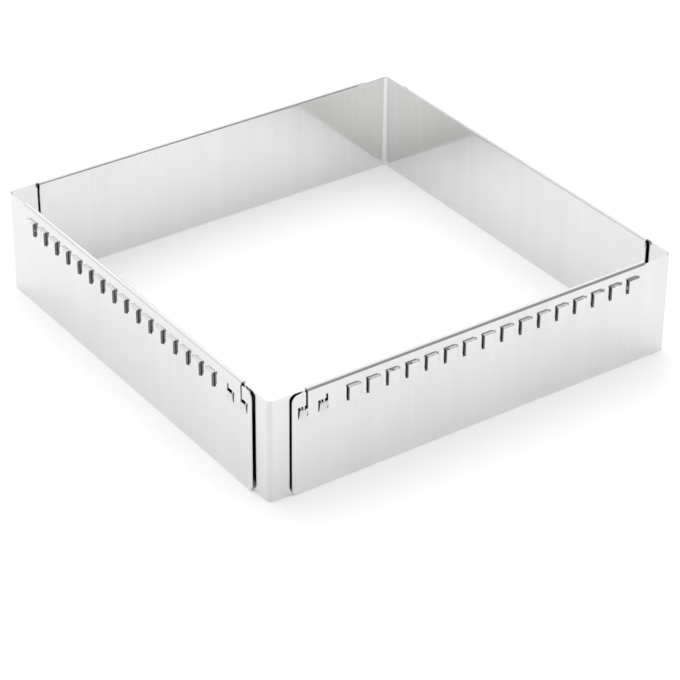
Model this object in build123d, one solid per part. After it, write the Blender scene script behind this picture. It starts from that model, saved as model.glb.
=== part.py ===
from build123d import *
import os

# An adjustable cake frame: four bent corners of thin stainless sheet that slide in each other.
# Two outer corners have a rail folded over their top edge and a row of lanced catches.
# Two plain inner corners slide in those rails. Everything is drawn closed, standing on the table.
# Lengths are in millimetres, X and Y run along the walls, Z is up, the origin is the middle of the base.

# The frame as a whole
side_length = 215.0
wall_height = 49.6
sheet = 0.5
slide_gap = 0.9
running_clearance = 0.3
overrun = 2.0

# Bends at the corners, measured on the inside of the bend
outer_corner_bend = 3.0
inner_corner_bend = 2.5
end_round = 3.2

# How far each arm stops short of the opposite corner
outer_arm_setback = 12.2
inner_arm_setback = 15.8

# Rail folded over the top edge of an outer arm
rail_bend = 0.3
rail_headroom = 0.3
flange_clearance = 0.3
flange_height = 4.0
rail_setback = 15.6

# Row of catches lanced in an outer arm, the first slit counted from the free end
# Beside each slit a pad is pressed outward on the corner's side, and a lip inward on the other
catch_pitch = 10.0
first_catch = 27.4
last_catch_margin = 20.0
catch_drop = 4.6
catch_height = 7.4
slit_width = 0.6
pad_rise = 1.5
pad_slope = 1.2
lip_length = 2.0
lip_slope = 1.7
catch_land = 0.6
shoulder = 0.9

# Two spring tongues between the catches and the free end, and the relief slit where the rail ends
# The flap beyond that slit stands a little lower than the inner corner's wall
tongue_count = 2
first_tongue = 7.7
tongue_window = 5.0
tongue_window_height = 5.4
tongue_side_gap = 0.5
tongue_top_gap = 0.5
tongue_lean = 1.2
relief_width = 0.8
flap_drop = 0.4

# Sizes that follow from the ones above
lip_depth = slide_gap - running_clearance
pad_length = catch_pitch - slit_width - lip_length - catch_land
inner_offset = sheet + slide_gap
outer_arm = side_length - outer_arm_setback
inner_arm = side_length - inner_offset - inner_arm_setback
rail_inside = wall_height + rail_headroom
rail_top = rail_inside + sheet
rail_depth = inner_offset + sheet + flange_clearance + sheet
flange_foot = rail_top - flange_height
first_slit = outer_arm - first_catch
rail_end = outer_arm - first_tongue
catch_top = wall_height - catch_drop
catch_foot = catch_top - catch_height
catch_count = 1 + int((first_slit - last_catch_margin) / catch_pitch)
tongue_top = catch_foot + tongue_window_height


def folded_section(outer_points, inner_points, bend):
    """A face between two fold lines of one sheet, with every fold rounded."""
    outside = FilletPolyline(*outer_points, radius=bend + sheet)
    inside = FilletPolyline(*inner_points, radius=bend)
    start = Line(outside @ 0, inside @ 0)
    end = Line(outside @ 1, inside @ 1)
    return make_face([outside, end, inside, start])


def corner_section(arm, bend):
    """Plan of a corner, with its outside point at the origin and its arms along +X and +Y."""
    outer_points = [(arm, 0), (0, 0), (0, arm)]
    inner_points = [(arm, sheet), (sheet, sheet), (sheet, arm)]
    return folded_section(outer_points, inner_points, bend)


def rail_section():
    """The wall of an outer arm with its top edge folded inward and down, across the arm."""
    outer_points = [(0, 0), (0, rail_top), (rail_depth, rail_top), (rail_depth, flange_foot)]
    inner_points = [
        (sheet, 0),
        (sheet, rail_inside),
        (rail_depth - sheet, rail_inside),
        (rail_depth - sheet, flange_foot),
    ]
    return Plane.YZ * folded_section(outer_points, inner_points, rail_bend)


def block(low, high):
    """A box between two opposite corners."""
    size = [top - bottom for bottom, top in zip(low, high)]
    return Pos(*low) * Box(*size, align=(Align.MIN, Align.MIN, Align.MIN))


def round_free_end(plate):
    """Rounds the upper and lower corner at the far end of an arm along X."""
    tips = plate.edges().filter_by(Axis.Y).group_by(Axis.X)[-1]
    return fillet(tips, end_round)


def pressed_form(length, slope, depth, skirt):
    """A pressed form, open at X zero and sloping out at its far end, on a skirt below Y zero."""
    plan_points = [(0, -skirt), (length, -skirt), (length, 0), (length - slope, depth), (0, depth)]
    plan = extrude(make_face(Polyline(*plan_points, close=True)), catch_height)
    arch_points = [
        (-skirt, 0),
        (0, 0),
        (depth, shoulder),
        (depth, catch_height - shoulder),
        (0, catch_height),
        (-skirt, catch_height),
    ]
    arch = Plane.YZ * make_face(Polyline(*arch_points, close=True))
    return plan & extrude(arch, length)


def pad_form(skirt):
    """The pad of a catch, from the slit at X zero toward the corner, rising outward."""
    return Rot(0, 0, 180) * pressed_form(pad_length, pad_slope, pad_rise, skirt)


def lip_form(skirt):
    """The lip of a catch, from the slit's other edge at X zero toward the free end, sinking inward."""
    return pressed_form(lip_length, lip_slope, lip_depth, skirt)


def tongue(start):
    """A spring tongue rooted at its foot, whose tip leans outward from the wall."""
    foot = catch_foot
    tip = tongue_top - tongue_top_gap
    points = [(0, foot), (sheet, foot), (sheet - tongue_lean, tip), (-tongue_lean, tip)]
    leaf = Plane.YZ * make_face(Polyline(*points, close=True))
    width = tongue_window - tongue_side_gap - tongue_side_gap
    return Pos(start + tongue_side_gap, 0, 0) * extrude(leaf, width)


def outer_strip():
    """One arm of an outer corner along X, from the end of the corner's bend to the free end."""
    strip = Pos(rail_setback, 0, 0) * extrude(rail_section(), rail_end - rail_setback)
    flap = round_free_end(block((rail_end, 0, 0), (outer_arm, sheet, wall_height - flap_drop)))
    strip = strip + flap

    catch_slits = [first_slit - number * catch_pitch for number in range(catch_count)]
    tongue_slits = [rail_end - number * catch_pitch for number in range(tongue_count)]

    pad, lip = pad_form(sheet / 2), lip_form(sheet / 2)
    strip = strip + [Pos(slit, 0, catch_foot) * pad for slit in catch_slits]
    strip = strip + [Pos(slit + slit_width, sheet, catch_foot) * lip for slit in catch_slits]
    pad_hollow, lip_hollow = pad_form(overrun), lip_form(overrun)
    strip = strip - [Pos(slit, sheet, catch_foot) * pad_hollow for slit in catch_slits]
    strip = strip - [Pos(slit + slit_width, 0, catch_foot) * lip_hollow for slit in catch_slits]

    openings = []
    for slit in catch_slits:
        low = (slit, -overrun, catch_foot)
        high = (slit + slit_width, sheet + overrun, catch_top)
        openings.append(block(low, high))
    for slit in tongue_slits:
        low = (slit, -overrun, catch_foot)
        high = (slit + tongue_window, sheet + overrun, tongue_top)
        openings.append(block(low, high))
        relief_top = rail_top if slit == rail_end else catch_top
        low = (slit, -overrun, tongue_top)
        high = (slit + relief_width, sheet + overrun, relief_top)
        openings.append(block(low, high))
    strip = strip - openings
    return strip + [tongue(slit) for slit in tongue_slits]


def outer_corner():
    """An outer corner, alike on both sides of its diagonal."""
    bend = extrude(corner_section(rail_setback, outer_corner_bend), wall_height)
    along_x = outer_strip()
    diagonal = Plane(origin=(0, 0, 0), x_dir=(0, 0, 1), z_dir=(1, -1, 0))
    along_y = mirror(along_x, about=diagonal)
    return bend + along_x + along_y


def inner_corner():
    """An inner corner, a plain bent strip with rounded ends."""
    body = extrude(corner_section(inner_arm, inner_corner_bend), wall_height)
    along_x = body.edges().filter_by(Axis.Y).group_by(Axis.X)[-1]
    along_y = body.edges().filter_by(Axis.X).group_by(Axis.Y)[-1]
    return fillet(along_x + along_y, end_round)


# The four corners in their closed places
half = side_length / 2
inner_place = half - inner_offset
outer = outer_corner()
inner = inner_corner()

parts = {
    "front_inner_corner": Pos(-inner_place, -inner_place, 0) * inner,
    "back_inner_corner": Pos(inner_place, inner_place, 0) * Rot(0, 0, 180) * inner,
    "right_outer_corner": Pos(half, -half, 0) * Rot(0, 0, 90) * outer,
    "left_outer_corner": Pos(-half, half, 0) * Rot(0, 0, -90) * outer,
}

os.makedirs("parts", exist_ok=True)
for name, shape in parts.items():
    export_step(shape, f"parts/{name}.step")
    print(name, len(shape.solids()), "solid", round(shape.volume, 1), "cubic mm")
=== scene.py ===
"""Dresses the adjustable cake frame: four bent corners of satin steel on a pale studio floor."""

import logging
import math
from collections.abc import Callable, Sequence
from dataclasses import dataclass
from enum import Enum

import bmesh
import bpy
from mathutils import Matrix, Vector


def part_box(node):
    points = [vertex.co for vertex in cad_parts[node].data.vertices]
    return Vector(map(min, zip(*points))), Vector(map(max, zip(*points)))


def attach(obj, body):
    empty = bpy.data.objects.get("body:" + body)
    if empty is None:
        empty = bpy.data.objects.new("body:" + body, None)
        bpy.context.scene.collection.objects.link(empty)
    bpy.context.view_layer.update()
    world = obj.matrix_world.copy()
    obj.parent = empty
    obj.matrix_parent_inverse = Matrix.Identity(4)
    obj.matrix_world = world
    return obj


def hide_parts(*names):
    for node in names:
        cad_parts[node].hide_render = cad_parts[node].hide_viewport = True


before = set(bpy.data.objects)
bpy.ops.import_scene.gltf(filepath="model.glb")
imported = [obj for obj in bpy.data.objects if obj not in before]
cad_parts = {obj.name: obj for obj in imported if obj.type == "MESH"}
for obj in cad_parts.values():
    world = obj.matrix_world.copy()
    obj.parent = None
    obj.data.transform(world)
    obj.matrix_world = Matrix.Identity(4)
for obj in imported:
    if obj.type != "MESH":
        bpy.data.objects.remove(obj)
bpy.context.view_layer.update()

LOG = logging.getLogger("cake_frame")
WHITE = (1.0, 1.0, 1.0, 1.0)

# A millimetre in metres, and the distance under which two points are one
MM = 0.001
MERGE = 0.001 * MM

# Share of a step that a count lets pass before it adds one more
STEP_SLACK = 1e-6

# Decimals of a metre that tell two heights apart
HEIGHT_DIGITS = 7

# Colour sockets of a Mix node, whose names its number sockets have too
MIX_FIRST, MIX_SECOND, MIX_RESULT = 6, 7, 2

# Material slots of an outer corner's sheet, each followed by the slot of its cut edge; risers and
# the cut edges beside the slits take dark steel, painted shade for the dark seen in the slits
PLAIN, BESIDE_SLIT, RISER = 0, 2, 3


class Place(Enum):
    """The four corners of the frame: CAD node, CAD body and quarter turns from the drawn corner."""

    FRONT = ("front_inner_corner", "front_corner", 0)
    BACK = ("back_inner_corner", "back_corner", 2)
    RIGHT = ("right_outer_corner", "right_corner", 1)
    LEFT = ("left_outer_corner", "left_corner", -1)

    @property
    def node(self) -> str:
        """Name of the CAD node that this corner stands for."""
        return self.value[0]

    @property
    def body(self) -> str:
        """Name of the CAD body that this corner rides on."""
        return self.value[1]

    @property
    def quarters(self) -> int:
        """Quarter turns from the drawn corner."""
        return self.value[2]

    @property
    def turn(self) -> float:
        """Turn about the vertical axis, in radians."""
        return self.quarters * math.pi / 2


@dataclass(frozen=True)
class Row:
    """One line of vertices along an arm: how far inward it lies, and how high."""

    inward: float
    up: float


@dataclass(frozen=True)
class Station:
    """One line of vertices up an arm: its plan point, the way inward and its run along the arm."""

    x: float
    y: float
    inward_x: float
    inward_y: float
    run: float

    @classmethod
    def straight(cls, run: float) -> "Station":
        """A station on the straight part of the arm along X."""
        return cls(run, 0.0, 0.0, 1.0, run)

    def point(self, row: Row) -> Vector:
        """Where a row crosses this station."""
        x = self.x + self.inward_x * row.inward
        y = self.y + self.inward_y * row.inward
        return Vector((x, y, row.up))


@dataclass(frozen=True)
class SheetSizes:
    """Sizes that all four corners share, in metres and radians."""

    side: float
    rail_top: float
    wall: float = 49.6 * MM
    sheet: float = 0.5 * MM
    gap: float = 0.9 * MM
    end_round: float = 3.2 * MM
    edge_round: float = 0.12 * MM
    edge_steps: int = 2
    edge_angle: float = math.radians(55)
    sharp_angle: float = math.radians(35)
    round_step: float = 1.1 * MM
    wall_step: float = 4.5 * MM

    @classmethod
    def from_frame(cls) -> "SheetSizes":
        """Reads the closed side of the walls and the rail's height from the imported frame."""
        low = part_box(Place.FRONT.node)[0]
        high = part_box(Place.RIGHT.node)[1]
        return cls(side=2 * (cls.sheet + cls.gap - low.x), rail_top=high.z)

    @property
    def inner_offset(self) -> float:
        """From an outer corner's outside face to an inner corner's outside face."""
        return self.sheet + self.gap


@dataclass(frozen=True)
class CatchSizes:
    """One lanced catch, in metres: a pad pressed outward, its riser, the slit and a faint lip."""

    pitch: float = 10.0 * MM
    foot: float = 37.6 * MM
    height: float = 7.4 * MM
    rise: float = 1.45 * MM
    pad: float = 6.8 * MM
    pad_slope: float = 1.2 * MM
    riser: float = 0.06 * MM
    riser_foot: float = 0.3 * MM
    slit: float = 0.5 * MM
    lip_rise: float = 0.12 * MM
    lip: float = 2.0 * MM
    foot_shoulder: float = 0.9 * MM
    top_shoulder: float = 0.35 * MM
    blend: float = 0.2 * MM
    root_step: float = 0.4 * MM
    pad_step: float = 0.9 * MM
    foot_step: float = 0.25 * MM
    middle_step: float = 0.8 * MM
    lip_steps: int = 3
    slope_reach: float = 1.3

    @property
    def top(self) -> float:
        """Height of the catch's upper end."""
        return self.foot + self.height

    @property
    def start(self) -> float:
        """Run from the slit back to the middle of the plain land before the pad."""
        return (self.pad + self.slit + self.lip - self.pitch) / 2 - self.pad

    def columns(self) -> list[float]:
        """Runs of a catch module's stations, measured from its slit."""
        root_end = self.slope_reach * self.pad_slope - self.pad
        root = evenly(-self.pad, root_end, self.root_step)
        pad = [*root, *evenly(root[-1], 0.0, self.pad_step)[1:]]
        lip = [self.slit + self.lip * step / self.lip_steps for step in range(self.lip_steps + 1)]
        return [self.start, *pad, self.riser, *lip, self.start + self.pitch]

    def heights(self) -> list[float]:
        """Heights of the rows that cross the catch, closest together at its foot."""
        foot_end = self.foot + self.slope_reach * self.foot_shoulder
        foot = evenly(self.foot, foot_end, self.foot_step)
        top = [self.top - self.top_shoulder, self.top]
        return [*foot, *evenly(foot[-1], top[0], self.middle_step)[1:-1], *top]

    def arch(self, up: float, depth: float) -> float:
        """Limits a press to the catch's height, with its shoulders below and above."""
        from_foot = (up - self.foot) / self.foot_shoulder
        from_top = (self.top - up) / self.top_shoulder
        return min(from_foot, from_top) * depth

    def blended(self, first: float, second: float) -> float:
        """The lesser of two depths, rounded where they meet, and never below zero."""
        near = max(self.blend - abs(first - second), 0.0) / self.blend
        return max(min(first, second) - near * near * self.blend / 4, 0.0)

    def press(self, run: float, up: float) -> float:
        """How far the sheet is pressed inward at a point of the module.

        Args:
            run: distance from the slit, away from the corner.
            up: height above the table.

        Returns:
            The depth, in metres, less than zero where the pad and the lip rise outward.
        """
        if not self.foot < up < self.top:
            return 0.0
        if -self.pad <= run <= MERGE:
            slope = self.rise * min((run + self.pad) / self.pad_slope, 1.0)
            return -self.blended(slope, self.arch(up, self.rise))
        if run <= self.riser + MERGE:
            return -self.blended(self.riser_foot, self.arch(up, self.rise))
        if self.slit - MERGE <= run <= self.slit + self.lip:
            slope = self.lip_rise * (self.slit + self.lip - run) / self.lip
            return -self.blended(slope, self.arch(up, self.lip_rise))
        return 0.0


@dataclass(frozen=True)
class TongueSizes:
    """One spring tongue, cut free on three sides and leaning outward, in metres.

    The lean grows with the height's share to the power of the curl.
    """

    window: float = 5.0 * MM
    window_height: float = 5.4 * MM
    near_gap: float = 0.5 * MM
    far_gap: float = 0.5 * MM
    top_gap: float = 1.2 * MM
    relief: float = 1.05 * MM
    lean: float = 1.0 * MM
    curl: float = 1.15
    column_step: float = 1.3 * MM
    steps: int = 6


@dataclass(frozen=True)
class RailSizes:
    """The rail folded over an outer arm's top edge, in metres and radians."""

    bend: float = 1.0 * MM
    lean: float = 1.1 * MM
    lean_turn: float = math.radians(25)
    depth: float = 2.7 * MM
    flange: float = 4.0 * MM
    setback: float = 15.6 * MM
    steps: int = 6


@dataclass(frozen=True)
class InnerSizes:
    """An inner corner's own sizes, in metres, and its counts of steps."""

    bend: float = 3.0 * MM
    setback: float = 15.8 * MM
    column_step: float = 4.0 * MM
    bend_steps: int = 6
    end_steps: int = 6


@dataclass(frozen=True)
class OuterSizes:
    """An outer corner's own sizes, in metres, and its counts of steps and catches."""

    bend: float = 3.5 * MM
    setback: float = 12.2 * MM
    flap_drop: float = 0.4 * MM
    first_tongue: float = 7.7 * MM
    first_catch: float = 27.4 * MM
    catch_count: int = 16
    # How far from a slit the cut edges take painted shade
    lanced_reach: float = 0.7 * MM
    column_step: float = 2.0 * MM
    blank_step: float = 3.0 * MM
    bend_steps: int = 4
    end_steps: int = 7


@dataclass(frozen=True)
class Waves:
    """The faint waves of thin sheet: lengths and depths in metres, phases in radians, factors."""

    fade: float = 30 * MM
    long_run: float = 24 * MM
    long_up: float = 19 * MM
    long_depth: float = 0.03 * MM
    short_run: float = 9.5 * MM
    short_up: float = 14 * MM
    short_depth: float = 0.008 * MM
    corner_phase: float = 1.3
    arm_phase: float = 2.1
    up_factor: float = 1.7
    short_factor: float = 3.1
    top_hold: float = 0.75

    def depth(self, run: float, up: float, phase: float) -> float:
        """How deep the waves are at a point of an arm.

        Args:
            run: distance along the arm.
            up: height above the table.
            phase: shifts the waves, so that no two arms are alike.

        Returns:
            The depth, in metres, never less than zero.
        """
        swell = math.sin(run / self.long_run + phase)
        long_wave = swell * math.cos(up / self.long_up + phase * self.up_factor)
        short_turn = run / self.short_run - up / self.short_up + phase * self.short_factor
        short_wave = math.sin(short_turn)
        return self.long_depth * (1 + long_wave) + self.short_depth * (1 + short_wave)


def evenly(start: float, end: float, step: float) -> list[float]:
    """Evenly spaced values from start to end, both included, no further apart than step."""
    count = max(1, math.ceil((end - start) / step - STEP_SLACK))
    return [start + (end - start) * number / count for number in range(count + 1)]


def arc_rows(centre: Row, radius: float, start: float, reach: float, steps: int) -> list[Row]:
    """Rows round a fold.

    Args:
        centre: the fold's axis.
        radius: the fold's outer radius.
        start: the angle where it starts, in radians, from the outward direction upward.
        reach: how far it turns, in radians.
        steps: how many rows it adds.

    Returns:
        The rows after the first one, in order.
    """
    turns = [start + reach * number / steps for number in range(1, steps + 1)]
    return [
        Row(centre.inward - radius * math.cos(turn), centre.up + radius * math.sin(turn))
        for turn in turns
    ]


def add_lattice(
    mesh: bmesh.types.BMesh,
    stations: Sequence[Station],
    rows: Sequence[Row],
    move: Callable[[Station, Row], Row],
    is_open: Callable[[float, Row], bool],
) -> None:
    """Adds a patch of sheet between stations and rows, facing outward.

    Args:
        mesh: the mesh that takes the patch.
        stations: the upright lines, away from the corner.
        rows: the level lines, from the table up and over the rail.
        move: gives the row's place at a station, for presses and rounded corners.
        is_open: says whether the sheet is cut away at a run and a row.
    """
    lines = [
        [mesh.verts.new(station.point(move(station, row))) for row in rows] for station in stations
    ]
    for first, second, near, far in zip(stations, stations[1:], lines, lines[1:]):
        run = (first.run + second.run) / 2
        for number in range(len(rows) - 1):
            low, high = rows[number], rows[number + 1]
            middle = Row((low.inward + high.inward) / 2, (low.up + high.up) / 2)
            if not is_open(run, middle):
                mesh.faces.new((near[number], far[number], far[number + 1], near[number + 1]))


def straight(runs: Sequence[float]) -> list[Station]:
    """Stations on the straight part of the arm along X."""
    return [Station.straight(run) for run in runs]


def object_from(mesh: bmesh.types.BMesh, name: str) -> bpy.types.Object:
    """Makes a scene object of a bmesh and frees it."""
    data = bpy.data.meshes.new(name)
    mesh.to_mesh(data)
    mesh.free()
    made = bpy.data.objects.new(name, data)
    bpy.context.scene.collection.objects.link(made)
    return made


def settle(made: bpy.types.Object) -> None:
    """Turns an object's modifiers into its plain mesh."""
    seen = made.evaluated_get(bpy.context.evaluated_depsgraph_get())
    plain = bpy.data.meshes.new_from_object(seen)
    spare = made.data
    made.modifiers.clear()
    made.data = plain
    bpy.data.meshes.remove(spare)
    plain.name = made.name


class CatchRow:
    """The row of lanced catches, repeated along an arm by Geometry Nodes."""

    def __init__(self) -> None:
        """Builds the node tree once for all rows."""
        self.tree = bpy.data.node_groups.new("catch_row", "GeometryNodeTree")
        self.sockets: dict[str, str] = {}
        self._build()

    def _input(self, name: str, kind: str) -> None:
        """Adds a named input and keeps its identifier."""
        socket = self.tree.interface.new_socket(name=name, in_out="INPUT", socket_type=kind)
        self.sockets[name] = socket.identifier

    def _build(self) -> None:
        """Builds the tree: modules on a line, realised and merged where they meet."""
        self._input("Module", "NodeSocketObject")
        self._input("Count", "NodeSocketInt")
        self._input("Start", "NodeSocketFloat")
        self._input("Pitch", "NodeSocketFloat")
        self._input("Finish", "NodeSocketMaterial")
        nodes, links, face = self.tree.nodes, self.tree.links, self.tree.interface
        face.new_socket(name="Geometry", in_out="OUTPUT", socket_type="NodeSocketGeometry")
        given = nodes.new("NodeGroupInput")
        start = nodes.new("ShaderNodeCombineXYZ")
        step = nodes.new("ShaderNodeCombineXYZ")
        line = nodes.new("GeometryNodeMeshLine")
        module = nodes.new("GeometryNodeObjectInfo")
        placed = nodes.new("GeometryNodeInstanceOnPoints")
        real = nodes.new("GeometryNodeRealizeInstances")
        merged = nodes.new("GeometryNodeMergeByDistance")
        finish = nodes.new("GeometryNodeSetMaterial")
        result = nodes.new("NodeGroupOutput")
        merged.inputs["Distance"].default_value = MERGE
        links.new(given.outputs["Start"], start.inputs["X"])
        links.new(given.outputs["Pitch"], step.inputs["X"])
        links.new(given.outputs["Count"], line.inputs["Count"])
        links.new(start.outputs[0], line.inputs["Start Location"])
        links.new(step.outputs[0], line.inputs["Offset"])
        links.new(given.outputs["Module"], module.inputs["Object"])
        links.new(line.outputs[0], placed.inputs["Points"])
        links.new(module.outputs["Geometry"], placed.inputs["Instance"])
        links.new(placed.outputs[0], real.inputs[0])
        links.new(real.outputs[0], merged.inputs["Geometry"])
        links.new(merged.outputs[0], finish.inputs["Geometry"])
        links.new(given.outputs["Finish"], finish.inputs["Material"])
        links.new(finish.outputs[0], result.inputs[0])

    def repeat(
        self,
        module: bmesh.types.BMesh,
        count: int,
        start: float,
        pitch: float,
        finish: bpy.types.Material,
    ) -> bpy.types.Mesh:
        """Repeats a module along X.

        Args:
            module: the module's mesh, which is freed.
            count: how many modules.
            start: run of the first module's slit.
            pitch: distance between modules.
            finish: the material of the row.

        Returns:
            One plain mesh of the whole row.
        """
        pattern = object_from(module, "catch_module")
        host = bpy.data.objects.new("catch_row_host", bpy.data.meshes.new("catch_row_host"))
        bpy.context.scene.collection.objects.link(host)
        modifier = host.modifiers.new("catch_row", "NODES")
        modifier.node_group = self.tree
        values = {
            "Module": pattern,
            "Count": count,
            "Start": start,
            "Pitch": pitch,
            "Finish": finish,
        }
        for name, value in values.items():
            modifier[self.sockets[name]] = value
        seen = host.evaluated_get(bpy.context.evaluated_depsgraph_get())
        row = bpy.data.meshes.new_from_object(seen)
        host.modifiers.clear()
        for spare in (host, pattern):
            data = spare.data
            bpy.data.objects.remove(spare)
            bpy.data.meshes.remove(data)
        return row


@dataclass(frozen=True)
class SteelFinish:
    """A steel finish: its colour, its gloss and how strongly the rolling and polishing show."""

    name: str
    colour: tuple[float, float, float]
    roughness: float
    streaks: float
    smudges: float
    relief: float
    relief_height: float = 0.01 * MM

    def material(self, grain: bpy.types.NodeTree, bend_from: float) -> bpy.types.Material:
        """Builds the material.

        Args:
            grain: the shared node group of the sheet's grain.
            bend_from: the distances along X and Y, summed, where the corner's bend starts.

        Returns:
            A metal whose tone, roughness and normal follow the grain.
        """
        made = bpy.data.materials.new(self.name)
        made.use_nodes = True
        nodes, links = made.node_tree.nodes, made.node_tree.links
        nodes.clear()
        output = nodes.new("ShaderNodeOutputMaterial")
        shader = nodes.new("ShaderNodeBsdfPrincipled")
        pattern = nodes.new("ShaderNodeGroup")
        pattern.node_tree = grain
        pattern.inputs["Streaks"].default_value = self.streaks
        pattern.inputs["Smudges"].default_value = self.smudges
        pattern.inputs["Roughness"].default_value = self.roughness
        pattern.inputs["Bend from"].default_value = bend_from
        tint = nodes.new("ShaderNodeMix")
        tint.data_type = "RGBA"
        tint.blend_type = "MULTIPLY"
        tint.inputs["Factor"].default_value = 1.0
        tint.inputs[MIX_FIRST].default_value = (*self.colour, 1.0)
        bump = nodes.new("ShaderNodeBump")
        bump.inputs["Strength"].default_value = self.relief
        bump.inputs["Distance"].default_value = self.relief_height
        shader.inputs["Metallic"].default_value = 1.0
        links.new(pattern.outputs["Tone"], tint.inputs[MIX_SECOND])
        links.new(tint.outputs[MIX_RESULT], shader.inputs["Base Color"])
        links.new(pattern.outputs["Roughness"], shader.inputs["Roughness"])
        links.new(pattern.outputs["Height"], bump.inputs["Height"])
        links.new(bump.outputs["Normal"], shader.inputs["Normal"])
        links.new(shader.outputs["BSDF"], output.inputs["Surface"])
        return made


FACE = SteelFinish(
    "satin_face",
    colour=(0.75, 0.75, 0.745),
    roughness=0.09,
    streaks=0.07,
    smudges=0.06,
    relief=0.25,
)
CUT = SteelFinish(
    "sheared_edge",
    colour=(0.78, 0.78, 0.775),
    roughness=0.34,
    streaks=0.10,
    smudges=0.05,
    relief=0.4,
)
# Dark steel on the risers and on the cut edges beside the slits: painted shade for the dark seen in
# the slits
SLIT_PAINTED_SHADE = SteelFinish(
    "lanced_edge",
    colour=(0.26, 0.26, 0.26),
    roughness=0.5,
    streaks=0.10,
    smudges=0.05,
    relief=0.4,
)

# What fills the material slots of a corner, in order; the dark steel in the outer corner's last two
# slots is painted shade
INNER_FINISHES = (FACE, CUT)
OUTER_FINISHES = (FACE, CUT, FACE, SLIT_PAINTED_SHADE, SLIT_PAINTED_SHADE)


@dataclass(frozen=True)
class Noise:
    """A noise on object coordinates: its scale upward, its features a metre and its octaves."""

    upright: float
    scale: float
    detail: float


@dataclass(frozen=True)
class BendMark:
    """A darker band up the middle of a bend: where it fades in past the bend's start, and how dark
    it is.
    """

    start: float = 0.5 * MM
    end: float = 1.15 * MM
    depth: float = 0.12


FINE_STREAKS = Noise(upright=0.012, scale=2600.0, detail=3.0)
BROAD_STREAKS = Noise(upright=0.05, scale=160.0, detail=2.0)
SMUDGES = Noise(upright=1.0, scale=34.0, detail=3.0)
BEND_DARKENING = BendMark()
NOISE_MIDDLE = 0.5


class SheetGrain:
    """The shader node group of worked sheet: upright streaks, faint smudges and a darker band up
    the bend.
    """

    def __init__(self) -> None:
        """Builds the group once for all finishes."""
        self.tree = bpy.data.node_groups.new("sheet_grain", "ShaderNodeTree")
        self._build()

    def _noise(self, pattern: Noise) -> bpy.types.NodeSocket:
        """Adds a noise.

        Args:
            pattern: how it is scaled.

        Returns:
            Its value less its middle.
        """
        nodes, links = self.tree.nodes, self.tree.links
        place = nodes.new("ShaderNodeTexCoord")
        mapping = nodes.new("ShaderNodeMapping")
        mapping.inputs["Scale"].default_value = (1.0, 1.0, pattern.upright)
        noise = nodes.new("ShaderNodeTexNoise")
        noise.inputs["Scale"].default_value = pattern.scale
        noise.inputs["Detail"].default_value = pattern.detail
        links.new(place.outputs["Object"], mapping.inputs["Vector"])
        links.new(mapping.outputs["Vector"], noise.inputs["Vector"])
        return self._math("SUBTRACT", noise.outputs[0], NOISE_MIDDLE)

    def _math(
        self,
        operation: str,
        first: bpy.types.NodeSocket | float,
        second: bpy.types.NodeSocket | float,
    ) -> bpy.types.NodeSocket:
        """Adds a math node.

        Args:
            operation: what it does.
            first: its first socket or number.
            second: its second socket or number.

        Returns:
            Its output.
        """
        node = self.tree.nodes.new("ShaderNodeMath")
        node.operation = operation
        for number, value in enumerate((first, second)):
            if isinstance(value, (int, float)):
                node.inputs[number].default_value = value
            else:
                self.tree.links.new(value, node.inputs[number])
        return node.outputs[0]

    def _bend_mark(self, bend_from: bpy.types.NodeSocket) -> bpy.types.NodeSocket:
        """Adds a darker band up the middle of a corner's bend."""
        nodes, links = self.tree.nodes, self.tree.links
        place, split = nodes.new("ShaderNodeTexCoord"), nodes.new("ShaderNodeSeparateXYZ")
        links.new(place.outputs["Object"], split.inputs[0])
        across = [self._math("ABSOLUTE", split.outputs[number], 0.0) for number in (0, 1)]
        past = self._math("SUBTRACT", self._math("ADD", *across), bend_from)
        share = nodes.new("ShaderNodeMapRange")
        share.inputs["From Min"].default_value = BEND_DARKENING.start
        share.inputs["From Max"].default_value = BEND_DARKENING.end
        share.inputs["To Max"].default_value = BEND_DARKENING.depth
        links.new(past, share.inputs["Value"])
        return share.outputs[0]

    def _build(self) -> None:
        """Builds the group's sockets and nodes."""
        face = self.tree.interface
        for name in ("Streaks", "Smudges", "Roughness", "Bend from"):
            face.new_socket(name=name, in_out="INPUT", socket_type="NodeSocketFloat")
        for name in ("Tone", "Roughness", "Height"):
            face.new_socket(name=name, in_out="OUTPUT", socket_type="NodeSocketFloat")
        given = self.tree.nodes.new("NodeGroupInput")
        result = self.tree.nodes.new("NodeGroupOutput")
        fine = self._noise(FINE_STREAKS)
        smudge = self._noise(SMUDGES)
        streak = self._math("ADD", fine, self._noise(BROAD_STREAKS))
        streak_tone = self._math("MULTIPLY", streak, given.outputs["Streaks"])
        smudge_tone = self._math("MULTIPLY", smudge, given.outputs["Smudges"])
        change = self._math("ADD", streak_tone, smudge_tone)
        bend_darkening = self._bend_mark(given.outputs["Bend from"])
        tone = self._math("SUBTRACT", self._math("ADD", change, 1.0), bend_darkening)
        rough = self._math("SUBTRACT", given.outputs["Roughness"], change)
        self.tree.links.new(tone, result.inputs["Tone"])
        self.tree.links.new(rough, result.inputs["Roughness"])
        self.tree.links.new(fine, result.inputs["Height"])


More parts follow.
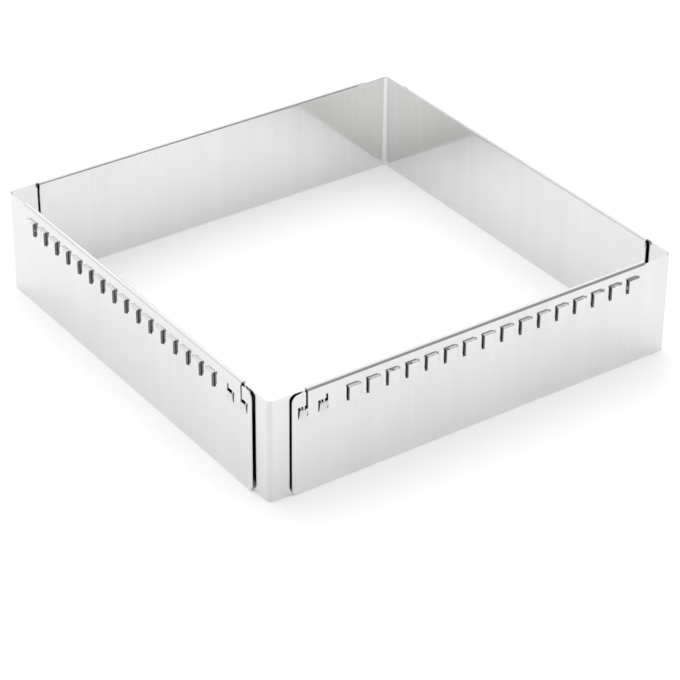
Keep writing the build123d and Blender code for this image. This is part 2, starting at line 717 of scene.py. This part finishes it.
class BentCorner:
    """A corner of bent sheet, drawn from its outside point and alike about its diagonal."""

    def __init__(
        self, sizes: SheetSizes, bend: float, setback: float, offset: float, flap_drop: float
    ) -> None:
        """Keeps the sizes that both kinds of corner have.

        Args:
            sizes: the sizes that all four corners share.
            bend: the bend's outside radius.
            setback: how far an arm stops short of the frame's far outside.
            offset: how far the corner lies inside the outer corners' outside faces.
            flap_drop: how much lower than the wall an arm's end is.
        """
        self.sizes = sizes
        self.waves = Waves()
        self.bend = bend
        self.offset = offset
        self.arm = sizes.side - offset - setback
        self.top = sizes.wall - flap_drop

    @property
    def bend_from(self) -> float:
        """Distances along X and Y from the frame's middle, summed, where the bend starts."""
        return self.sizes.side - 2 * self.offset - self.bend

    def bend_stations(self, steps: int) -> list[Station]:
        """Stations round half of the bend, from the diagonal to the start of the arm."""
        stations = []
        for number in range(steps, 0, -1):
            turn = math.pi / 4 * number / steps
            sine, cosine = math.sin(turn), math.cos(turn)
            x, y = self.bend * (1 - sine), self.bend * (1 - cosine)
            stations.append(Station(x, y, sine, cosine, x))
        return stations

    def end_runs(self, steps: int) -> list[float]:
        """Runs of the stations round the arm's rounded end corners."""
        turns = [math.pi / 2 * number / steps for number in range(steps + 1)]
        return [self.arm - self.sizes.end_round * (1 - math.sin(turn)) for turn in turns]

    def round_end(self, station: Station, row: Row) -> Row:
        """Draws the rows in round the arm's end corners.

        Args:
            station: the station that the row crosses.
            row: the row on the square sheet.

        Returns:
            The row with the corner rounded.
        """
        radius = self.sizes.end_round
        past = station.run - (self.arm - radius)
        if past <= 0:
            return row
        rise = radius - math.sqrt(max(radius * radius - past * past, 0.0))
        share = (radius - rise) / radius
        if row.up < radius:
            return Row(row.inward, rise + row.up * share)
        if row.up > self.top - radius:
            return Row(row.inward, self.top - rise - (self.top - row.up) * share)
        return row

    def wall_rows(self, between: Sequence[float] = ()) -> list[Row]:
        """Rows of the plain wall, with extra heights where something is cut or pressed."""
        radius = self.sizes.end_round
        low = evenly(0.0, radius, self.sizes.round_step)
        high = evenly(self.top - radius, self.sizes.wall, self.sizes.round_step)
        first = between[0] if between else self.top - radius
        middle = evenly(radius, first, self.sizes.wall_step)
        heights = {round(up, HEIGHT_DIGITS) for up in (*low, *middle, *between, *high)}
        return [Row(0.0, up) for up in sorted(heights)]

    def mirror_arm(self, mesh: bmesh.types.BMesh) -> None:
        """Adds the arm along Y as the mirror image of the arm along X."""
        geometry = [*mesh.verts, *mesh.edges, *mesh.faces]
        twin = bmesh.ops.duplicate(mesh, geom=geometry)["geom"]
        for part in twin:
            if isinstance(part, bmesh.types.BMVert):
                part.co.x, part.co.y = part.co.y, part.co.x
        faces = [part for part in twin if isinstance(part, bmesh.types.BMFace)]
        bmesh.ops.reverse_faces(mesh, faces=faces)

    def warp(self, mesh: bmesh.types.BMesh, seed: float) -> None:
        """Gives the arms the faint waves of real thin sheet.

        Args:
            mesh: the drawn corner.
            seed: shifts the waves, so that no two corners are alike.
        """
        for vert in mesh.verts:
            along_x = vert.co.x > vert.co.y
            run = vert.co.x if along_x else vert.co.y
            phase = seed + (0.0 if along_x else self.waves.arm_phase)
            fade = min(max((run - self.bend) / self.waves.fade, 0.0), 1.0)
            loose = 1 - self.waves.top_hold * min(vert.co.z / self.sizes.wall, 1.0) ** 2
            shift = fade * loose * self.waves.depth(run, vert.co.z, phase)
            if along_x:
                vert.co.y += shift
            else:
                vert.co.x += shift

    def thicken(self, made: bpy.types.Object) -> None:
        """Gives the drawn face its thickness and breaks its cut edges."""
        solid = made.modifiers.new("sheet", "SOLIDIFY")
        solid.thickness = self.sizes.sheet
        solid.offset = -1.0
        solid.use_even_offset = True
        solid.material_offset_rim = 1
        edge = made.modifiers.new("edge", "BEVEL")
        edge.width = self.sizes.edge_round
        edge.segments = self.sizes.edge_steps
        edge.limit_method = "ANGLE"
        edge.angle_limit = self.sizes.edge_angle
        settle(made)

    def place(
        self, mesh: bmesh.types.BMesh, spot: Place, finishes: Sequence[bpy.types.Material]
    ) -> bpy.types.Object:
        """Finishes a drawn corner and puts it in its place in the frame.

        Args:
            mesh: the drawn corner, which is freed.
            spot: which corner of the frame it is.
            finishes: the materials of its slots, in order.

        Returns:
            The finished piece, which rides on its body.
        """
        bmesh.ops.remove_doubles(mesh, verts=mesh.verts, dist=MERGE)
        bmesh.ops.dissolve_degenerate(mesh, edges=mesh.edges, dist=MERGE)
        self.warp(mesh, self.waves.corner_phase * spot.quarters)
        made = object_from(mesh, f"{spot.node}_sheet")
        for finish in finishes:
            made.data.materials.append(finish)
        self.thicken(made)
        reach = self.sizes.side / 2 - self.offset
        turn = Matrix.Rotation(spot.turn, 4, "Z")
        made.data.transform(Matrix.Translation(turn @ Vector((-reach, -reach, 0.0))) @ turn)
        made.data.shade_smooth()
        made.data.set_sharp_from_angle(angle=self.sizes.sharp_angle)
        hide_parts(spot.node)
        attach(made, spot.body)
        LOG.info("%s: %d faces, stands for %s", made.name, len(made.data.polygons), spot.node)
        return made


class InnerCorner(BentCorner):
    """A plain bent strip that slides in the outer corners' rails."""

    def __init__(self, sizes: SheetSizes) -> None:
        """Works out the corner from the shared sizes and its own."""
        self.own = InnerSizes()
        super().__init__(
            sizes, self.own.bend, self.own.setback, offset=sizes.inner_offset, flap_drop=0.0
        )

    def build(self, spot: Place, finishes: Sequence[bpy.types.Material]) -> bpy.types.Object:
        """Builds the corner in one of its two places.

        Args:
            spot: front or back.
            finishes: the materials of its slots, in order.

        Returns:
            The finished piece.
        """
        mesh = bmesh.new()
        runs = evenly(self.bend, self.arm - self.sizes.end_round, self.own.column_step)
        runs += self.end_runs(self.own.end_steps)[1:]
        stations = self.bend_stations(self.own.bend_steps) + straight(runs)
        add_lattice(mesh, stations, self.wall_rows(), self.round_end, lambda run, row: False)
        self.mirror_arm(mesh)
        return self.place(mesh, spot, finishes)


class OuterCorner(BentCorner):
    """A bent strip with a folded rail, a row of catches and two spring tongues on each arm."""

    def __init__(self, sizes: SheetSizes, row: CatchRow) -> None:
        """Keeps the catch row's tree and works out where the catches stand."""
        self.own = OuterSizes()
        super().__init__(
            sizes, self.own.bend, self.own.setback, offset=0.0, flap_drop=self.own.flap_drop
        )
        self.row = row
        self.catch = CatchSizes()
        self.tongue = TongueSizes()
        self.rail = RailSizes()
        self.rail_end = self.arm - self.own.first_tongue
        self.windows = (self.rail_end, self.rail_end - self.catch.pitch)
        first_slit = self.arm - self.own.first_catch
        self.last_slit = first_slit - (self.own.catch_count - 1) * self.catch.pitch
        self.row_start = self.last_slit + self.catch.start
        self.row_end = first_slit + self.catch.start + self.catch.pitch

    @property
    def tongue_top(self) -> float:
        """Height of the tongue windows' upper edge."""
        return self.catch.foot + self.tongue.window_height

    def flat_rows(self) -> list[Row]:
        """Rows of the wall below the rail, with the catches' and tongues' heights."""
        between = sorted([*self.catch.heights(), self.tongue_top])
        return self.wall_rows(between)

    def railed_rows(self) -> list[Row]:
        """Rows of the wall, over the rail and down to the flange's foot."""
        rail, top, quarter = self.rail, self.sizes.rail_top, math.pi / 2
        sine, cosine = math.sin(rail.lean_turn), math.cos(rail.lean_turn)
        axis = top - rail.bend
        leant = Row(rail.lean * sine, axis + rail.bend * sine)
        spring = Row(0.0, leant.up - rail.lean * cosine)
        outer_axis = Row(leant.inward + rail.bend * cosine, axis)
        inner_axis = Row(rail.depth - rail.bend, axis)
        rest = quarter - rail.lean_turn
        wall = [row for row in self.flat_rows() if row.up < spring.up - MERGE]
        outer_fold = arc_rows(outer_axis, rail.bend, rail.lean_turn, rest, rail.steps)
        inner_fold = arc_rows(inner_axis, rail.bend, quarter, quarter, rail.steps)
        ridge = Row(inner_axis.inward, top)
        foot = [Row(rail.depth, up) for up in (top - rail.flange / 2, top - rail.flange)]
        return [*wall, spring, leant, *outer_fold, ridge, *inner_fold, *foot]

    def catch_module(self) -> bmesh.types.BMesh:
        """One pitch of the arm: wall, catch and rail, with its slit at X zero."""
        mesh = bmesh.new()
        catch = self.catch

        def press(station: Station, row: Row) -> Row:
            """Presses the pad and the lip out of the wall, and leaves the rail alone."""
            if row.inward != 0.0:
                return row
            return Row(row.inward + catch.press(station.run, row.up), row.up)

        def is_slit(run: float, row: Row) -> bool:
            """Says whether a point is in the slit between the riser and the lip."""
            is_between = catch.riser < run < catch.slit and catch.foot < row.up < catch.top
            return row.inward < self.sizes.sheet and is_between

        add_lattice(mesh, straight(catch.columns()), self.railed_rows(), press, is_slit)
        return mesh

    def slot_near(self, spot: Vector) -> int:
        """Gives a point of the row its slot: on a riser, beside a slit, or on plain sheet; risers
        and the cut edges beside a slit take painted shade.
        """
        catch, reach = self.catch, self.own.lanced_reach
        past = (spot.x - self.last_slit + catch.pitch / 2) % catch.pitch - catch.pitch / 2
        if not (catch.foot < spot.z < catch.top and -reach < past < catch.slit + reach):
            return PLAIN
        return RISER if 0 < past < catch.riser else BESIDE_SLIT

    def tongue_columns(self, slit: float) -> list[float]:
        """Runs of the stations that cross a tongue window."""
        tongue = self.tongue
        window_end = slit + tongue.window
        leaf = evenly(slit + tongue.relief, window_end - tongue.far_gap, tongue.column_step)
        return [slit, slit + tongue.near_gap, *leaf, window_end]

    def is_cut(self, run: float, row: Row) -> bool:
        """Says whether the sheet is cut away in the tongues' windows and slits."""
        if row.inward > self.sizes.sheet or row.up < self.catch.foot:
            return False
        for window in self.windows:
            past = run - window
            if 0 < past < self.tongue.window and row.up < self.tongue_top:
                return True
            open_top = window == self.rail_end or row.up < self.catch.top
            if 0 < past < self.tongue.relief and open_top:
                return True
        return False

    def add_tongue(self, mesh: bmesh.types.BMesh, slit: float) -> None:
        """Adds the leaf of a tongue, rooted at the window's foot and leaning outward."""
        tongue = self.tongue
        rise = tongue.window_height - tongue.top_gap
        rows = []
        for number in range(tongue.steps + 1):
            share = number / tongue.steps
            lean = -tongue.lean * share ** tongue.curl
            rows.append(Row(lean, self.catch.foot + rise * share))
        stations = straight(self.tongue_columns(slit)[1:-1])
        add_lattice(mesh, stations, rows, lambda station, row: row, lambda run, row: False)

    def add_catches(self, mesh: bmesh.types.BMesh, finish: bpy.types.Material) -> None:
        """Adds the row of catches, with the material slots of painted shade on its risers and
        beside its slits.
        """
        row = self.row.repeat(
            self.catch_module(), self.own.catch_count, self.last_slit, self.catch.pitch, finish
        )
        mesh.from_mesh(row)
        bpy.data.meshes.remove(row)
        for face in mesh.faces:
            face.material_index = self.slot_near(face.calc_center_median())

    def add_plain_strips(self, mesh: bmesh.types.BMesh) -> None:
        """Adds the sheet before and after the catches: bend, blank, second tongue and flap."""
        flat, railed = self.flat_rows(), self.railed_rows()
        flap = [row for row in flat if row.up < self.top - MERGE] + [Row(0.0, self.top)]
        setback, step = self.rail.setback, self.own.column_step
        bend = self.bend_stations(self.own.bend_steps)
        bend += straight(evenly(self.bend, setback, step))
        blank = straight(evenly(setback, self.row_start, self.own.blank_step))
        second_runs = [self.row_end, *self.tongue_columns(self.windows[1])]
        second_runs += evenly(second_runs[-1], self.rail_end, step)[1:]
        first_runs = self.tongue_columns(self.rail_end)
        least = first_runs[-1] + self.sizes.edge_round
        first_runs += [run for run in self.end_runs(self.own.end_steps) if run > least]
        strips = (
            (bend, flat),
            (blank, railed),
            (straight(second_runs), railed),
            (straight(first_runs), flap),
        )
        for stations, rows in strips:
            add_lattice(mesh, stations, rows, self.round_end, self.is_cut)

    def build(self, spot: Place, finishes: Sequence[bpy.types.Material]) -> bpy.types.Object:
        """Builds the corner in one of its two places.

        Args:
            spot: right or left.
            finishes: the materials of its slots, in order.

        Returns:
            The finished piece.
        """
        mesh = bmesh.new()
        self.add_catches(mesh, finishes[PLAIN])
        self.add_plain_strips(mesh)
        for window in self.windows:
            self.add_tongue(mesh, window)
        self.mirror_arm(mesh)
        return self.place(mesh, spot, finishes)


@dataclass(frozen=True)
class PhotoCamera:
    """The camera, solved from the corners and catches in the photo, in metres and degrees."""

    azimuth: float = -35.25
    elevation: float = 32.182
    roll: float = 0.491
    distance: float = 1198.1 * MM
    target_x: float = -9.157 * MM
    target_y: float = -18.554 * MM
    lens: float = 139.9
    clip_end: float = 100.0

    def build(self) -> bpy.types.Object:
        """Makes the camera and sets it as the scene's."""
        data = bpy.data.cameras.new("photo_camera")
        data.lens = self.lens
        data.clip_end = self.clip_end
        camera = bpy.data.objects.new("photo_camera", data)
        turn, lift = math.radians(self.azimuth), math.radians(self.elevation)
        level = math.cos(lift)
        back = Vector((math.sin(turn) * level, -math.cos(turn) * level, math.sin(lift)))
        roll = Matrix.Rotation(math.radians(self.roll), 3, "Z")
        aim = (-back).to_track_quat("-Z", "Y").to_matrix() @ roll
        camera.matrix_world = aim.to_4x4()
        camera.location = Vector((self.target_x, self.target_y, 0.0)) + back * self.distance
        bpy.context.scene.collection.objects.link(camera)
        bpy.context.scene.camera = camera
        return camera


@dataclass(frozen=True)
class Studio:
    """A pale floor, a white surround, a soft lamp, and two cards that only the metal mirrors."""

    floor_size: float = 12.0
    floor_tone: float = 0.85
    floor_lift: float = 0.15
    sky: float = 0.86
    key_power: float = 12.0
    key_size: float = 2.0
    key_spot: tuple[float, float, float] = (0.3, 1.1, 1.9)
    grey_tone: float = 0.38
    grey_size: tuple[float, float] = (1.8, 1.5)
    grey_spot: tuple[float, float, float] = (0.82, -1.15, 0.62)
    white_tone: float = 1.35
    white_size: tuple[float, float] = (2.6, 1.0)
    white_spot: tuple[float, float, float] = (1.0, 1.3, 1.03)

    def card(
        self, name: str, width: float, height: float, finish: bpy.types.Material
    ) -> bpy.types.Object:
        """Makes a flat card round the origin, facing up.

        Args:
            name: the card's name.
            width: its size along X.
            height: its size along Y.
            finish: its material.

        Returns:
            The card.
        """
        mesh = bmesh.new()
        bmesh.ops.create_grid(mesh, x_segments=1, y_segments=1, size=0.5)
        made = object_from(mesh, name)
        made.data.transform(Matrix.Diagonal((width, height, 1.0, 1.0)))
        made.data.materials.append(finish)
        return made

    def build_floor(self) -> None:
        """Lays the pale floor, white to the camera and in the metal, which keeps the shadow."""
        material = bpy.data.materials.new("pale_floor")
        material.use_nodes = True
        nodes, links = material.node_tree.nodes, material.node_tree.links
        nodes.clear()
        output = nodes.new("ShaderNodeOutputMaterial")
        matt, bright = nodes.new("ShaderNodeBsdfDiffuse"), nodes.new("ShaderNodeBsdfDiffuse")
        glow, both = nodes.new("ShaderNodeEmission"), nodes.new("ShaderNodeAddShader")
        mix = nodes.new("ShaderNodeMixShader")
        matt.inputs["Color"].default_value = (*[self.floor_tone] * 3, 1.0)
        bright.inputs["Color"].default_value = WHITE
        glow.inputs["Strength"].default_value = self.floor_lift
        links.new(bright.outputs[0], both.inputs[0])
        links.new(glow.outputs[0], both.inputs[1])
        links.new(self.seen_mask(nodes, links), mix.inputs["Fac"])
        links.new(matt.outputs[0], mix.inputs[1])
        links.new(both.outputs[0], mix.inputs[2])
        links.new(mix.outputs[0], output.inputs["Surface"])
        self.card("studio_floor", self.floor_size, self.floor_size, material)

    def stand_card(
        self,
        name: str,
        tone: float,
        size: tuple[float, float],
        spot: tuple[float, float, float],
    ) -> None:
        """Stands a plain card that only the metal's reflections show, facing the frame.

        Args:
            name: the card's name.
            tone: how bright it is, where 1 is white.
            size: its width and height in metres.
            spot: where its middle is, in metres.
        """
        material = bpy.data.materials.new(name)
        material.use_nodes = True
        nodes, links = material.node_tree.nodes, material.node_tree.links
        nodes.clear()
        output, glow = nodes.new("ShaderNodeOutputMaterial"), nodes.new("ShaderNodeEmission")
        glow.inputs["Strength"].default_value = tone
        links.new(glow.outputs[0], output.inputs["Surface"])
        made = self.card(name, *size, material)
        turn = (-Vector(spot)).to_track_quat("Z", "Y").to_matrix().to_4x4()
        made.data.transform(Matrix.Translation(spot) @ turn)
        made.visible_camera = made.visible_diffuse = False
        made.visible_shadow = made.visible_transmission = False

    @staticmethod
    def seen_mask(nodes: bpy.types.Nodes, links: bpy.types.NodeLinks) -> bpy.types.NodeSocket:
        """Adds a mask of the rays that show a surface: the camera's, a mirror's and a glass's."""
        path = nodes.new("ShaderNodeLightPath")
        direct, both = nodes.new("ShaderNodeMath"), nodes.new("ShaderNodeMath")
        direct.operation = both.operation = "MAXIMUM"
        links.new(path.outputs["Is Camera Ray"], direct.inputs[0])
        links.new(path.outputs["Is Glossy Ray"], direct.inputs[1])
        links.new(direct.outputs[0], both.inputs[0])
        links.new(path.outputs["Is Transmission Ray"], both.inputs[1])
        return both.outputs[0]

    def build_world(self) -> None:
        """Makes the surround: white to the camera and in the metal, softer as light."""
        world = bpy.data.worlds.new("studio")
        bpy.context.scene.world = world
        world.use_nodes = True
        nodes, links = world.node_tree.nodes, world.node_tree.links
        nodes.clear()
        output = nodes.new("ShaderNodeOutputWorld")
        light = nodes.new("ShaderNodeBackground")
        white = nodes.new("ShaderNodeBackground")
        light.inputs["Strength"].default_value = self.sky
        light.inputs["Color"].default_value = white.inputs["Color"].default_value = WHITE
        mix = nodes.new("ShaderNodeMixShader")
        links.new(self.seen_mask(nodes, links), mix.inputs["Fac"])
        links.new(light.outputs[0], mix.inputs[1])
        links.new(white.outputs[0], mix.inputs[2])
        links.new(mix.outputs[0], output.inputs["Surface"])

    def add_lamp(
        self, name: str, spot: tuple[float, float, float], power: float, size: float
    ) -> None:
        """Hangs a soft square lamp that faces the frame.

        Args:
            name: the lamp's name.
            spot: where it hangs, in metres.
            power: its power in watts.
            size: the length of its side in metres.
        """
        data = bpy.data.lights.new(name, "AREA")
        data.energy = power
        data.size = size
        lamp = bpy.data.objects.new(name, data)
        lamp.matrix_world = (-Vector(spot)).to_track_quat("-Z", "Y").to_matrix().to_4x4()
        lamp.location = spot
        lamp.visible_glossy = False
        bpy.context.scene.collection.objects.link(lamp)

    def build(self) -> None:
        """Builds the floor, the surround, the cards and the lamp."""
        self.build_floor()
        self.stand_card("grey_card", self.grey_tone, self.grey_size, self.grey_spot)
        self.stand_card("white_card", self.white_tone, self.white_size, self.white_spot)
        self.build_world()
        self.add_lamp("soft_key", self.key_spot, self.key_power, self.key_size)


def main() -> None:
    """Builds the four corners, the studio and the camera."""
    logging.basicConfig(level=logging.INFO, format="%(name)s: %(message)s")
    bpy.context.scene.view_settings.view_transform = "Standard"
    sizes = SheetSizes.from_frame()
    grain = SheetGrain().tree
    inner = InnerCorner(sizes)
    outer = OuterCorner(sizes, CatchRow())
    inner_finishes = [finish.material(grain, inner.bend_from) for finish in INNER_FINISHES]
    outer_finishes = [finish.material(grain, outer.bend_from) for finish in OUTER_FINISHES]
    inner.build(Place.FRONT, inner_finishes)
    inner.build(Place.BACK, inner_finishes)
    outer.build(Place.RIGHT, outer_finishes)
    outer.build(Place.LEFT, outer_finishes)
    PhotoCamera().build()
    Studio().build()


if __name__ == "__main__":
    main()
